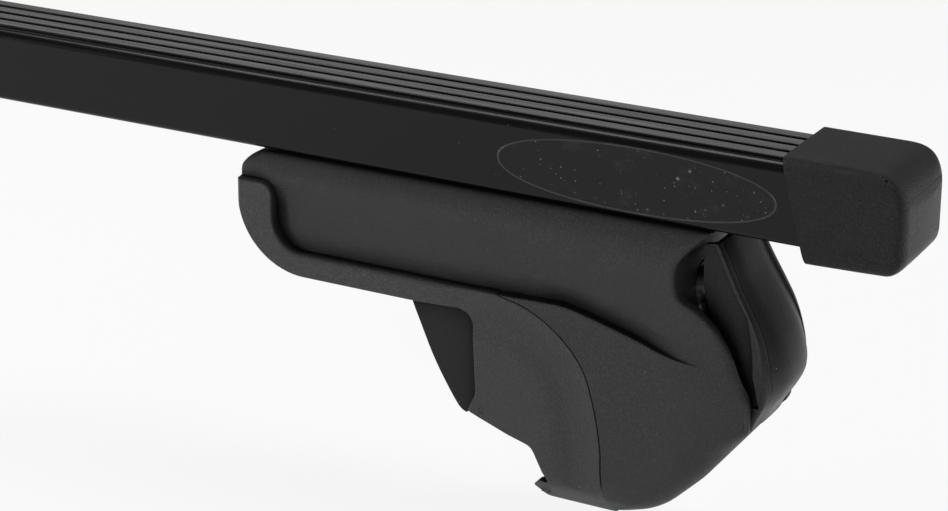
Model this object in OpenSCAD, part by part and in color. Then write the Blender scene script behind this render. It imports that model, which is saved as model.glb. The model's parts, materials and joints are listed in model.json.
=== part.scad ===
// Clamp foot for raised roof rails, under a stretch of ribbed crossbar with its end cap.
// X runs along the crossbar and outboard, Y along the roof rail and Z up.
// The origin lies on the axis of the rail, midway across the foot.

/* [Crossbar] */
// Width of the crossbar across its sheath
bar_w = 32; // [29:0.5:36]
// Height of the crossbar with its ribs
bar_h = 24; // [21:0.1:26]
// Reach of the crossbar inboard of the rail
bar_in = 207; // [195:1:400]
// Reach of the crossbar outboard of the rail
bar_out = 118; // [112:1:130]
// Wall of the steel core
core_t = 1.5; // [1.2:0.1:2]
// Wall of the plastic sheath
sheath_t = 1.2; // [0.9:0.1:1.6]
// Corner radius of the crossbar
bar_r = 3; // [2:0.25:4]
// Width of the slot along the underside
slot_w = 9; // [8.6:0.2:11]
// Number of ribs along the top
rib_n = 4; // [2:1:4]
// Distance between ribs
rib_pitch = 6.4; // [5.5:0.1:7]
// Width of a rib
rib_w = 4.8; // [3:0.1:5.2]
// Height of a rib
rib_h = 0.7; // [0.4:0.1:1]

/* [End cap] */
// Length of the end cap along its top
cap_len = 36; // [32:0.5:44]
// Wall of the end cap
cap_t = 2.5; // [2:0.1:3.5]
// Lip of the end cap below the crossbar
cap_drop = 4.7; // [3:0.1:5]
// Lean of the mouth of the end cap
cap_lean = 15.8; // [5:0.5:20]
// Depth of the crossbar inside the end cap
cap_grip = 30; // [24:0.5:32]

/* [Foot] */
// Height of the crossbar above the rail axis
rise = 89; // [86:0.5:94]
// Width across the shoe
foot_w = 44; // [42:0.5:50]
// Reach of the nose inboard of the rail
nose_x = 88.5; // [84:0.5:96]
// Reach of the side walls outboard of the rail
leg_out = 82.5; // [81:0.5:86]
// Depth of the underside of the rim below the crossbar
rim_drop = 36.8; // [35:0.2:39]
// Height of the rim
rim_h = 7.4; // [6:0.2:9]
// Top of the rim at the nose, above its underside
rim_rise = 28; // [25:0.5:30]
// Width of the rim at the nose
rim_w = 11.5; // [9:0.5:13]
// Wall of the mouldings
wall = 2.4; // [1.8:0.1:2.8]
// Inset of the upper body behind the face of the rim
body_inset = 2.6; // [2:0.1:3.5]
// Gap under the crossbar
seat_gap = 0.3; // [0.2:0.05:0.5]

/* [Rail clamp] */
// Diameter of the rail
rail_d = 34; // [30:0.5:35]
// Thickness of the saddle pad
pad_t = 2; // [1.5:0.1:2.5]
// Width of the saddle pad
pad_w = 20; // [16:0.5:24]
// Inboard end of the saddle pad, as an angle on the rail
pad_a1 = 121; // [116:0.5:124]
// Outboard end of the saddle pad, as an angle on the rail
pad_a0 = -3; // [-5:0.5:0]

/* [Bracket and claw] */
// Thickness of the folded bracket
plate_t = 3; // [2.5:0.1:3.5]
// Width of the bracket
bracket_w = 24; // [23:0.5:25]
// Diameter of the claw pin
pin_d = 8; // [6:0.5:9]
// Claw pin outboard of the rail axis
pivot_x = 14; // [13:0.5:16]
// Claw pin above the rail axis
pivot_z = 36; // [35:0.5:38]
// Depth of the tightening bolt below the crossbar
bolt_drop = 23.36; // [22.5:0.02:24.5]
// Travel of the claw
claw_travel = 25; // [20:0.5:26]
// Thickness of the claw tip
claw_w = 11; // [9:0.5:12]
// Thickness of the rubber on the claw tip
tip_pad_t = 1.6; // [1.2:0.1:2]
// Diameter of the tightening bolt
bolt_d = 8; // [6:0.5:8]
// Diameter of the head of the tightening bolt
head_d = 13; // [11:0.5:13]
// Across flats of the hexagon socket
key_af = 5; // [4:0.5:6]
// Diameter of the barrel nut
barrel_d = 12; // [11:0.5:13]

/* [Track bolts] */
// Diameter of the track bolts
track_d = 8; // [6:0.5:8]
// Side of a track bolt head
track_head = 17; // [14:0.5:19]
// First track bolt inboard of the rail
track_x1 = 64; // [62:0.5:66]
// Second track bolt inboard of the rail
track_x2 = 42; // [40:0.5:44]
// Thickness of the seat pad under the crossbar
seat_t = 2.2; // [1.5:0.1:3]

/* [Cover] */
// Width of the end cover
cover_w = 34; // [32:0.5:35]
// Wall of the end cover
cover_t = 2.4; // [2:0.1:2.8]
// Distance between the outer faces of its cheeks
cheek_w = 28.6; // [26:0.2:29]
// Hinge pin of the cover outboard of the rail axis
hinge_x = 79.8; // [79:0.2:80.4]
// Depth of the hinge pin of the cover below the crossbar
hinge_drop = 55.8; // [55:0.2:56.4]
// Diameter of the hinge pin
hinge_d = 4; // [3:0.25:4]

/* [Hidden] */
$fn = 48;
arc_step = 7;
fit = 0.25;
foot_h = foot_w / 2;
top_z = rise - 0.4;
rim_z = rise - rim_drop;
rim_top = rim_z + rim_rise;
crease_z = rim_z + rim_h;
rail_r = rail_d / 2;
pad_r = rail_r + pad_t;
web_r = pad_r + wall;
body_h = foot_h - body_inset;
inner_h = foot_h - wall;
seat_z = rise - seat_gap - seat_t;
bolt_z = rise - bolt_drop;
claw_arm = 2 * (bolt_z - pivot_z) / (1 + cos(claw_travel / 2));
hinge_z = rise - hinge_drop;
leg_z = top_z - 58.1;
barrel_x = pivot_x - claw_arm * sin(claw_travel / 2);
barrel_z = pivot_z + claw_arm * cos(claw_travel / 2);
flange_x = 58;
washer_t = 1.6;
head_h = 8;
bracket_h = bracket_w / 2;
fork_w = bracket_w - 2 * plate_t - 1;
fork_gap = bolt_d + 1.8;
core_w = bar_w - 2 * sheath_t;
core_h = bar_h - rib_h - 2 * sheath_t;
cap_x = bar_out + cap_len - cap_grip;
knuckle_r = 4.2;
tracks = [-track_x1, -track_x2];

function unit(v) = v / norm(v);
function turn(p, a) = [p[0] * cos(a) - p[1] * sin(a), p[0] * sin(a) + p[1] * cos(a)];
function arc(c, r, a0, a1) =
    let (n = max(2, ceil(abs(a1 - a0) / arc_step)))
    [for (i = [0:n]) c + turn([r, 0], a0 + (a1 - a0) * i / n)];

// A corner of a rounded outline: p with radius r, between its neighbours a and b
function corner(p, a, b, r) =
    let (u = unit(a - p), v = unit(b - p), half = acos(max(-1, min(1, u * v))) / 2)
    r <= 0 || half > 89 ? [p] :
    let (room = 0.49 * min(norm(a - p), norm(b - p)), rr = min(r, room * tan(half)),
         c = p + unit(u + v) * rr / sin(half), s = p + u * rr / tan(half) - c,
         side = u[0] * v[1] - u[1] * v[0] > 0 ? -1 : 1)
    [for (q = arc([0, 0], 1, 0, side * (180 - 2 * half))) c + turn(s, atan2(q[1], q[0]))];
function flat(p) = [p[0], p[1]];
function rounded(pts) =
    let (n = len(pts))
    [for (i = [0:n - 1])
        each corner(flat(pts[i]), flat(pts[(i + n - 1) % n]), flat(pts[(i + 1) % n]),
                    len(pts[i]) > 2 ? pts[i][2] : 0)];

// A smooth curve through a few points
function bend(a, b, c, d, t) =
    0.5 * (2 * b + (c - a) * t + (2 * a - 5 * b + 4 * c - d) * t * t
           + (3 * b - a - 3 * c + d) * t * t * t);
function curve(pts, steps = 4) =
    let (m = len(pts) - 1)
    [for (i = [0:m - 1]) for (k = [0:steps - 1])
        bend(pts[max(0, i - 1)], pts[i], pts[i + 1], pts[min(m, i + 2)], k / steps),
     pts[m]];

module slab(y0, y1) {
    translate([0, y1, 0]) rotate([90, 0, 0]) linear_extrude(y1 - y0) children();
}
module both() {
    children();
    mirror([0, 1, 0]) children();
}
module along(x0, x1) {
    translate([x0, 0, 0]) rotate([90, 0, 90]) linear_extrude(x1 - x0) children();
}
module upright(z0, z1) {
    translate([0, 0, z0]) linear_extrude(z1 - z0) children();
}
module rod(x, z, d, y0, y1) {
    translate([x, y1, z]) rotate([90, 0, 0]) cylinder(d = d, h = y1 - y0);
}
module block(x0, x1, y0, y1, z0, z1) {
    translate([x0, y0, z0]) cube([x1 - x0, y1 - y0, z1 - z0]);
}

// Part of a ring round the rail, from radius r0 to r1 and angle a0 to a1
module sector2d(r0, r1, a0, a1) {
    intersection() {
        difference() {
            circle(r = r1, $fn = 96);
            circle(r = r0, $fn = 96);
        }
        polygon(concat([[0, 0]], arc([0, 0], 2 * r1, a0, a1)));
    }
}

// Section of the crossbar, with its underside at the height of the foot's rise
module box2d(w, h, r, low_r = 1.8) {
    low = min(r, low_r);
    polygon(rounded([[-w / 2, 0, low], [w / 2, 0, low], [w / 2, h, r], [-w / 2, h, r]]));
}
module core2d() {
    translate([0, rise + sheath_t]) box2d(core_w, core_h, bar_r - sheath_t);
}
module sheath2d() {
    translate([0, rise]) {
        box2d(bar_w, bar_h - rib_h, bar_r);
        for (i = [0:rib_n - 1])
            translate([(i - (rib_n - 1) / 2) * rib_pitch, bar_h - rib_h])
                polygon(rounded([[-rib_w / 2, -0.2], [rib_w / 2, -0.2], [rib_w / 2, rib_h, rib_h],
                                 [-rib_w / 2, rib_h, rib_h]]));
    }
}
module slot2d(w) {
    translate([-w / 2, rise - 1]) square([w, sheath_t + core_t + 2]);
}

module crossbar_core() {
    color("#8c9196") along(-bar_in, bar_out - 1) difference() {
        core2d();
        translate([0, rise + sheath_t + core_t])
            box2d(core_w - 2 * core_t, core_h - 2 * core_t, 0.6);
        slot2d(slot_w);
    }
}

module crossbar_sheath() {
    color("#141517") along(-bar_in, bar_out) difference() {
        sheath2d();
        core2d();
        slot2d(slot_w + 1);
    }
}

module cap_side2d() {
    z0 = rise - cap_drop;
    z1 = rise + bar_h + 1.9;
    mouth_x = cap_x - cap_len - 0.3;
    polygon(rounded([[mouth_x + (z1 - z0) * tan(cap_lean), z0, 1.5], [cap_x + 0.8, z0 + 1.5, 6],
                     [cap_x - 0.3, z1 - 0.3, 14], [mouth_x, z1]]));
}
module end_cap() {
    half = bar_w / 2 + cap_t;
    hole_w = bar_w + 0.2;
    tongue_w = core_w - 2 * core_t - 0.6;
    color("#26282a") {
        difference() {
            intersection() {
                slab(-half, half) cap_side2d();
                along(cap_x - cap_len - 2, cap_x + 3) translate([0, rise - cap_drop])
                    box2d(2 * half, bar_h + cap_drop + 1.9, 4.5, 4.5);
                upright(rise - cap_drop - 1, rise + bar_h + 3)
                    polygon(rounded([[cap_x - cap_len - 2, -half], [cap_x + 0.1, -half + 0.5, 6],
                                     [cap_x + 1.7, 0, 60], [cap_x + 0.1, half - 0.5, 6],
                                     [cap_x - cap_len - 2, half]]));
            }
            block(cap_x - cap_len - 3, bar_out, -hole_w / 2, hole_w / 2, rise - 0.1, rise + bar_h + 0.1);
        }
        for (s = [-1, 1])
            block(bar_out - 16, bar_out + 0.5, s * (tongue_w / 2 - 1) - 1, s * (tongue_w / 2 - 1) + 1,
                  rise + sheath_t + core_t + 0.3, rise + bar_h - rib_h - sheath_t - core_t - 0.3);
    }
}

// Side outlines of the foot, in X and Z
function finger_edge() = curve([
    [leg_out - 14.2, top_z], [leg_out - 18.6, top_z - 4.3], [leg_out - 22.2, top_z - 8.7],
    [leg_out - 23.2, top_z - 12.6], [leg_out - 22.6, top_z - 17.3], [leg_out - 21, top_z - 19.9],
    [leg_out - 16.2, top_z - 22.5], [leg_out - 11.2, top_z - 26.8], [leg_out - 7.7, top_z - 31.5],
    [leg_out - 3.6, top_z - 38.5], [leg_out - 0.9, top_z - 45.5], [leg_out, top_z - 50.6]], 3);
function hook_edge() = [
    [leg_out, leg_z, 5], [leg_out - 13.7, 0.43 * leg_z, 30], [56.4, 0.9, 26], [43, -3.2, 30],
    [21, -3.6, 4.6], [16.5, 1.1, 1],
    [18.4, 3.1, 0.6], [21.4, 2.8, 0.3], [19.5, 6.1, 0.5], [15.8, 13.4, 3.5], [8, 15.6, 14], [-1.8, 19.1, 6],
    [-5.6, 20.6, 1.2], [-2.9, 26.5, 4], [-4.7, rim_z + 0.6, 5.5], [-26, rim_z]];
function nose_edge() = concat(
    arc([26 - nose_x, rim_z + 23.5], 23.5, 270, 186), [[1.3 - nose_x, rim_top]],
    arc([10.2 - nose_x, top_z - 9.6], 9.6, 169, 90));
module foot2d() {
    polygon(rounded(concat(finger_edge(), hook_edge(), nose_edge())));
}
function seam_edge() = curve([
    [3, crease_z + 0.2], [13.3, crease_z - 2.2], [23.5, crease_z - 8], [31.9, crease_z - 17.3],
    [36.1, crease_z - 29], [38.5, 18.3], [38.9, 10], [40, 2.2], [42.5, -2]], 5);
module shoe_region2d() {
    polygon(rounded(concat(seam_edge(), [
        [42.5, -20], [-nose_x - 10, -20], [-nose_x - 10, rim_top], [-nose_x + rim_w + 3.3, rim_top, 4],
        [-nose_x + rim_w + 3.6, crease_z, 17.5], [-10, crease_z]])));
}
module shoe2d() {
    intersection() {
        foot2d();
        shoe_region2d();
    }
}
module housing2d() {
    difference() {
        foot2d();
        shoe_region2d();
    }
}
// The lower, outer part of the housing stands proud of the upper body below this line
module proud2d() {
    polygon(concat(curve([
        [0, crease_z], [18, crease_z + 0.6], [28, crease_z + 0.2], [45.7, crease_z - 4.2],
        [64, crease_z - 9.3], [leg_out + 6, crease_z - 11]], 3), [[leg_out + 6, -20], [0, -20]]));
}
// Room behind the end cover, between the side walls
module cover_room2d() {
    polygon(concat(
        [[62, rise + 5]], curve([[62, top_z], [60.6, top_z - 12], [61.2, top_z - 22],
        [64.6, top_z - 34], [70, top_z - 46]], 3),
        arc([hinge_x, hinge_z], 5.8, 165, 262), [[hinge_x - 1.5, 15], [110, 15], [110, rise + 5]]));
}

// Plan outline: a bowed nose, and sides that swell towards the cover and then draw in beside it
module plan2d(h, inboard_h) {
    bow = 90;
    c = 4;
    polygon(concat(
        rounded([[2.2 - nose_x, -inboard_h, 2], [16, -inboard_h, 60], [52, -h, 60], [leg_out - 15, -h, 22],
                 [leg_out - 1.4, -h + 3, 5], [leg_out + 0.2, -h + 6], [leg_out + 12, -h + 7],
                 [leg_out + 12, h - 7], [leg_out + 0.2, h - 6], [leg_out - 1.4, h - 3, 5],
                 [leg_out - 15, h, 22], [52, h, 60], [16, inboard_h, 60],
                 [2.2 - nose_x, inboard_h, 2]]),
        arc([bow - nose_x, 0], bow, 180 - asin((inboard_h - c) / bow), 180 + asin((inboard_h - c) / bow))));
}
module upper_section2d(inset) {
    h = foot_h - 0.3 - inset;
    polygon(rounded([
        [-h + 5.9, top_z - inset, 2], [-h + 1.6, top_z - 7, 12], [-h, (crease_z + top_z) / 2, 26],
        [-h + 0.2, crease_z - 22], [h - 0.2, crease_z - 22], [h, (crease_z + top_z) / 2, 26],
        [h - 1.6, top_z - 7, 12], [h - 5.9, top_z - inset, 2]]));
}
module leg_section2d(inset) {
    h = foot_h - inset;
    polygon(rounded([
        [-h, top_z], [-h, 9, 14], [-h + 1.5, 1.6 + inset / 2, 6], [-h + 5, inset - 3.8, 4],
        [h - 5, inset - 3.8, 4], [h - 1.5, 1.6 + inset / 2, 6], [h, 9, 14], [h, top_z]]));
}

module housing_form() {
    intersection() {
        slab(-foot_h, foot_h) housing2d();
        along(-nose_x - 1, leg_out + 1) upper_section2d(0);
        upright(0, rise) plan2d(foot_h - 0.2, body_h + 0.4);
    }
    intersection() {
        slab(-foot_h, foot_h) intersection() {
            housing2d();
            proud2d();
        }
        along(0, leg_out + 1) leg_section2d(0);
        upright(-5, rise) plan2d(foot_h, foot_h);
    }
}
module housing_hollow() {
    intersection() {
        slab(-foot_h, foot_h) offset(delta = -wall) foot2d();
        along(-nose_x, leg_out) upper_section2d(wall);
        upright(-5, rise) plan2d(inner_h - 0.2, body_h + 0.4 - wall);
    }
    intersection() {
        slab(-foot_h, foot_h) offset(delta = -wall) intersection() {
            foot2d();
            proud2d();
        }
        along(-nose_x, leg_out) leg_section2d(wall);
        upright(-5, rise) plan2d(inner_h, inner_h);
    }
}
module cover_room() {
    intersection() {
        slab(-cover_w / 2 - fit, cover_w / 2 + fit) cover_room2d();
        along(40, 120) offset(delta = fit) cover_width2d();
    }
}
// The wall behind the end cover and the thick rims beside it, with the returns of the finger scoops
module housing_rims() {
    slab(-foot_h, foot_h) offset(delta = wall) cover_room2d();
    both() slab(bracket_h + 0.3, foot_h) intersection() {
        offset(delta = wall) polygon(concat(finger_edge(), [[leg_out + 20, 30], [leg_out + 20, top_z]]));
        translate([40, top_z - 26]) square([50, 30]);
    }
}
screw_x = -53;
screw_y = bracket_h + 3;

module housing() {
    color("#2b2d2f") difference() {
        union() {
            difference() {
                housing_form();
                housing_hollow();
                block(20, flange_x + 0.1, -bracket_h - 0.1, bracket_h + 0.1, bolt_z - 14, top_z - wall);
            }
            intersection() {
                housing_form();
                housing_rims();
            }
            intersection() {
                housing_form();
                for (x = [-72, -32, 20, 44])
                    both() block(x - 0.9, x + 0.9, bracket_h, foot_h, crease_z + 3, top_z);
            }
            both() translate([screw_x, screw_y, rim_z + wall]) cylinder(d = 5.4, h = 20);
        }
        cover_room();
        // Opening for the seat, bore for the bolt head, slot for the claw, bores for the pin and screws
        block(8 - nose_x, 58.5, -bracket_h - 1, bracket_h + 1, top_z - wall - 1, rise);
        translate([40, 0, bolt_z]) rotate([0, 90, 0]) cylinder(d = 2 * bolt_d + 1.2, h = 50);
        block(20, 48, -claw_w / 2 - 1.5, claw_w / 2 + 1.5, -10, 12);
        rod(hinge_x, hinge_z, hinge_d, -cover_w / 2 - 1.2, cover_w / 2 + 1.2);
        both() translate([screw_x, screw_y, rim_z]) cylinder(d = 2.6, h = wall + 12);
    }
}

jaw_pin_x = -0.7;
jaw_pin_z = web_r + 0.5;
jaw_pin_d = 2.4;
module shoe_form() {
    intersection() {
        slab(-foot_h, foot_h) shoe2d();
        along(-nose_x - 1, leg_out) leg_section2d(0);
        upright(-5, rise) plan2d(foot_h, foot_h);
    }
}
module rail_shoe() {
    color("#2b2d2f") difference() {
        union() {
            difference() {
                shoe_form();
                intersection() {
                    slab(-foot_h, foot_h) union() {
                        offset(delta = -wall) foot2d();
                        circle(r = web_r - 0.8);
                        translate([-34, 15]) square([37.4, crease_z - 10]);
                    }
                    along(-nose_x - 1, leg_out) leg_section2d(wall);
                    upright(-5, rise + 1) plan2d(inner_h, inner_h);
                }
            }
            intersection() {
                shoe_form();
                union() {
                    both() slab(body_h - wall + 0.9, foot_h) offset(delta = wall) housing2d();
                    for (x = [-76, -60, -42])
                        both() block(x - 0.9, x + 0.9, bracket_h + 1, foot_h, rim_z + 1, crease_z);
                }
            }
            slab(0.1 - inner_h, inner_h - 0.1) sector2d(pad_r, web_r, pad_a0, 79);
        }
        for (x = tracks)
            translate([x, 0, rim_z - 1]) cylinder(d = 15, h = wall + 2);
        both() translate([screw_x, screw_y, rim_z - 1]) {
            cylinder(d = 3.2, h = wall + 2);
            cylinder(d = 6, h = 2.2);
        }
        rod(jaw_pin_x, jaw_pin_z, jaw_pin_d + 0.06, -foot_h - 1, foot_h + 1);
        block(web_r - 4, 60, -claw_w / 2 - 1.5, claw_w / 2 + 1.5, -10, -1.2);
        block(web_r + 0.5, 60, -claw_w / 2 - 1.5, claw_w / 2 + 1.5, -10, 12);
    }
}

// The jaw that stands on the rail beside the saddle and shows through the window of the shoe
module jaw2d() {
    up = rim_z - 18;
    difference() {
        polygon(concat(
            [[3.2, 18.7], [3, 16], [-9, 14.5]],
            curve([[pad_r * cos(pad_a1), pad_r * sin(pad_a1)], [-12.4, 18], [-17.4, 18 + 0.22 * up],
                   [-21.6, 18 + 0.44 * up], [-25.3, 18 + 0.68 * up], [-28.6, 18 + 0.9 * up],
                   [-31.4, 18 + 1.13 * up]], 3),
            [[-31.4, rim_z + rim_h], [3.2, rim_z + rim_h]]));
        circle(r = pad_r, $fn = 96);
    }
}
module inner_jaw() {
    h = bracket_h + 2;
    color("#1d1f21") difference() {
        slab(-h, h) jaw2d();
        slab(-bracket_h - 0.1, bracket_h + 0.1) difference() {
            offset(delta = -wall) union() {
                jaw2d();
                translate([0, 20]) square([20, 60]);
                translate([-31.4, rim_z + rim_h - 1]) square([50, 20]);
            }
            circle(r = web_r + 4);
        }
        rod(jaw_pin_x, jaw_pin_z, jaw_pin_d + 0.06, -h - 1, h + 1);
    }
}

module saddle_pad() {
    color("#17181a") slab(-pad_w / 2, pad_w / 2) sector2d(rail_r, pad_r, pad_a0, pad_a1);
}

function bracket_outline() = rounded([
    [-79, seat_z, 0], [-79, seat_z - 9, 5], [-34, seat_z - 13, 14], [-20, seat_z - 40, 12],
    [-7, web_r + 7, 8], [19, web_r + 3, 12], [30, pivot_z + 4, 14], [flange_x, bolt_z - 11.6, 8],
    [flange_x, seat_z, 0]]);
module bracket() {
    top = seat_z;
    inner = bracket_h - plate_t;
    color("#9aa0a6") difference() {
        union() {
            intersection() {
                slab(-bracket_h, bracket_h) polygon(bracket_outline());
                along(-80, flange_x + 1) difference() {
                    polygon(rounded([[-bracket_h, -5], [bracket_h, -5], [bracket_h, top, plate_t + 1],
                                     [-bracket_h, top, plate_t + 1]]));
                    polygon(rounded([[-inner, -6], [inner, -6], [inner, top - plate_t, 1],
                                     [-inner, top - plate_t, 1]]));
                }
            }
            block(flange_x - plate_t, flange_x, -inner - 0.1, inner + 0.1, bolt_z - 11, top - plate_t - 2);
        }
        for (x = tracks)
            translate([x, 0, top - 10]) cylinder(d = track_d + 0.6, h = 20);
        rod(pivot_x, pivot_z, pin_d + 0.04, -bracket_h - 1, bracket_h + 1);
        translate([flange_x - 10, 0, bolt_z]) rotate([0, 90, 0]) cylinder(d = bolt_d + 0.8, h = 20);
    }
}

module bar_seat() {
    color("#17181a") difference() {
        block(-78, 56, -bracket_h, bracket_h, seat_z, seat_z + seat_t);
        for (x = tracks)
            translate([x, 0, seat_z - 1]) cylinder(d = track_d + 0.8, h = seat_t + 2);
    }
}

washer_z = seat_z - plate_t - 1.6;
nut_h = 6.5;
module track_bolts() {
    head_z = rise + sheath_t + core_t + fit;
    color("#b4b8bc") for (x = tracks) translate([x, 0, 0]) {
        upright(head_z, head_z + 4) polygon(rounded([
            [-track_head / 2, -track_head / 2, 2.5], [track_head / 2, -track_head / 2, 2.5],
            [track_head / 2, track_head / 2, 2.5], [-track_head / 2, track_head / 2, 2.5]]));
        translate([0, 0, washer_z - nut_h - 3]) cylinder(d = track_d, h = head_z - washer_z + nut_h + 3.5);
    }
}
module track_washers() {
    color("#c2c6ca") for (x = tracks) translate([x, 0, washer_z]) difference() {
        cylinder(d = 2 * track_d, h = 1.6);
        translate([0, 0, -1]) cylinder(d = track_d + 0.4, h = 4);
    }
}
module track_nuts() {
    color("#b4b8bc") for (x = tracks) translate([x, 0, washer_z - nut_h]) difference() {
        cylinder(r = 0.93 * track_d, h = nut_h, $fn = 6);
        translate([0, 0, -1]) cylinder(d = track_d + 0.1, h = nut_h + 2);
    }
}

// The claw is drawn as it grips the rail, and turned back to where it rests
module claw_pose() {
    translate([pivot_x, 0, pivot_z]) rotate([0, -claw_travel, 0]) translate([-pivot_x, 0, -pivot_z])
        children();
}
function claw_grip_r() = rail_r + tip_pad_t + 0.3;
module claw2d() {
    t = turn([0, claw_arm], -claw_travel / 2) + [pivot_x, pivot_z];
    difference() {
        union() {
            polygon(rounded(concat(arc([0, 0], claw_grip_r(), -14, -33), [
                [16.4, -12, 1.2], [24.5, -9.7, 5], [31, 3, 14], [29.5, 21, 16],
                [pivot_x + 10, pivot_z + 6, 6], [t[0] + 8, t[1] + 1, 7], [t[0] + 1, t[1] + 10, 6],
                [t[0] - 8, t[1] + 2, 7], [pivot_x - 8, pivot_z + 7, 6],
                [pivot_x - 6.5, pivot_z - 8, 6], [23.5, 14, 9], [23.4, 0, 8]])));
        }
        translate([pivot_x, pivot_z]) circle(d = pin_d + 0.1);
        translate(t) circle(d = barrel_d + 0.1);
    }
}
module claw() {
    color("#8d9297") claw_pose() difference() {
        slab(-fork_w / 2, fork_w / 2) claw2d();
        both() block(0, 50, claw_w / 2, fork_w, -30, pivot_z - 12);
        block(-20, 50, -fork_gap / 2, fork_gap / 2, pivot_z + 13, pivot_z + 60);
    }
}
module claw_tip_pad() {
    r1 = claw_grip_r();
    color("#17181a") claw_pose() slab(-claw_w / 2, claw_w / 2)
        polygon(concat(arc([0, 0], r1 - 0.08, -32, -15), arc([0, 0], r1 - tip_pad_t, -15, -32)));
}
module claw_pin() {
    color("#c2c6ca") rod(pivot_x, pivot_z, pin_d, -bracket_h - 2.2, bracket_h + 2.2);
}
module claw_pin_clips() {
    color("#7d8287") both() difference() {
        rod(pivot_x, pivot_z, pin_d + 4, bracket_h + 0.2, bracket_h + 1.4);
        rod(pivot_x, pivot_z, pin_d + 0.04, bracket_h, bracket_h + 2);
        block(pivot_x - 1.5, pivot_x + 1.5, bracket_h, bracket_h + 2, pivot_z - pin_d, pivot_z);
    }
}

module barrel_nut() {
    color("#c2c6ca") difference() {
        rod(barrel_x, barrel_z, barrel_d, -fork_w / 2, fork_w / 2);
        translate([barrel_x - barrel_d, 0, barrel_z]) rotate([0, 90, 0])
            cylinder(d = bolt_d + 1.1, h = 2 * barrel_d);
    }
}
module tightening_bolt() {
    head_x = flange_x + washer_t;
    color("#b4b8bc") translate([0, 0, bolt_z]) rotate([0, 90, 0]) difference() {
        union() {
            translate([0, 0, barrel_x - barrel_d / 2 - 3])
                cylinder(d = bolt_d, h = head_x - barrel_x + barrel_d / 2 + 3.2);
            translate([0, 0, head_x + 0.1]) cylinder(d = head_d, h = head_h - 0.6);
            translate([0, 0, head_x + head_h - 0.5]) cylinder(d1 = head_d, d2 = head_d - 1.2, h = 0.6);
        }
        translate([0, 0, head_x + 3]) cylinder(d = key_af / cos(30), h = head_h, $fn = 6);
    }
}
module thrust_washer() {
    color("#c2c6ca") translate([flange_x, 0, bolt_z]) rotate([0, 90, 0]) difference() {
        cylinder(d = 2 * bolt_d, h = washer_t - 0.1);
        translate([0, 0, -1]) cylinder(d = bolt_d + 0.6, h = 4);
    }
}

// Side outline of the end cover along its crown, from its top edge to its knuckle
function cover_edge() = curve([
    [leg_out - 12, top_z - 3], [leg_out - 9.3, top_z - 8.1], [leg_out - 6, top_z - 14.3],
    [leg_out - 2, top_z - 20.6], [leg_out + 2.2, top_z - 26.6], [leg_out + 5.8, top_z - 32.6],
    [leg_out + 8, top_z - 38.8], [leg_out + 8.2, top_z - 44], [leg_out + 6, top_z - 48.8],
    [leg_out + 3.4, top_z - 52.6], [hinge_x + 4.4, hinge_z], [hinge_x + 3.2, hinge_z - 2.7]], 3);
module cover2d() {
    polygon(concat(cover_edge(), arc([hinge_x, hinge_z], knuckle_r, -60, -180),
                   [[hinge_x - 3, hinge_z + 8], [leg_out - 6, top_z - 41], [leg_out - 15.5, top_z - 22],
                    [leg_out - 17, top_z - 16], [leg_out - 17, top_z - 4.2]]));
}
module cover_width2d() {
    half = cover_w / 2;
    polygon(rounded([
        [-half + 2.6, top_z, 3], [-half, top_z - 24, 60], [-half, top_z - 42, 12],
        [-half + 1.9, top_z - 49.5, 8], [-half + 1.9, hinge_z - 9], [half - 1.9, hinge_z - 9],
        [half - 1.9, top_z - 49.5, 8], [half, top_z - 42, 12], [half, top_z - 24, 60],
        [half - 2.6, top_z, 3]]));
}
// A crowned band swept round the middle of the cover
module cover_barrel(t) {
    half = cover_w / 2;
    crown = 5.3;
    band_r = 72.5;
    crown_r = (half * half + crown * crown) / (2 * crown);
    translate([leg_out - 69, 0, top_z - 46.8]) rotate([90, 0, 0]) rotate([0, 0, -20])
        rotate_extrude(angle = 70, $fn = 120) intersection() {
            translate([band_r + crown - crown_r, 0]) circle(r = crown_r - t, $fn = 120);
            translate([band_r - 30, -half - 1]) square([60, 2 * half + 2]);
        }
}
module end_cover() {
    half = cover_w / 2;
    color("#232527") difference() {
        intersection() {
            cover_barrel(0);
            slab(-half, half) cover2d();
            along(50, 100) cover_width2d();
        }
        difference() {
            intersection() {
                cover_barrel(cover_t);
                slab(-half - 2, half + 2) translate([-cover_t, 0]) polygon(concat(
                    cover_edge(), [[hinge_x - 30, hinge_z - 4], [hinge_x - 30, top_z + 2]]));
            }
            both() slab(cheek_w / 2 - 2, cheek_w / 2) translate([40, 0]) square([70, rise]);
            slab(-half - 3, half + 3) translate([hinge_x - 4, hinge_z + 1]) square([14, 4]);
            rod(hinge_x, hinge_z, 2 * knuckle_r + 1, -half - 3, half + 3);
        }
        rod(hinge_x, hinge_z, hinge_d + 0.1, -half - 1, half + 1);
    }
}
module cover_hinge_pin() {
    color("#c2c6ca") rod(hinge_x, hinge_z, hinge_d, -cover_w / 2 - 1.1, cover_w / 2 + 1.1);
}
module jaw_pin() {
    color("#9aa0a6") rod(jaw_pin_x, jaw_pin_z, jaw_pin_d, -foot_h + 0.3, foot_h - 0.3);
}
module shoe_screws() {
    color("#3a3d40") both() translate([screw_x, screw_y, rim_z]) difference() {
        union() {
            translate([0, 0, 0.1]) cylinder(d = 5.6, h = 1);
            translate([0, 0, 1]) cylinder(d = 2.6, h = 11);
        }
        translate([0, 0, -0.5]) cylinder(r = 1.2, h = 1.3, $fn = 6);
    }
}

crossbar_core();
crossbar_sheath();
end_cap();
housing();
rail_shoe();
inner_jaw();
saddle_pad();
bracket();
bar_seat();
track_bolts();
track_washers();
track_nuts();
claw();
claw_tip_pad();
claw_pin();
claw_pin_clips();
barrel_nut();
tightening_bolt();
thrust_washer();
end_cover();
cover_hinge_pin();
jaw_pin();
shoe_screws();
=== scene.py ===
import json
import math

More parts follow.
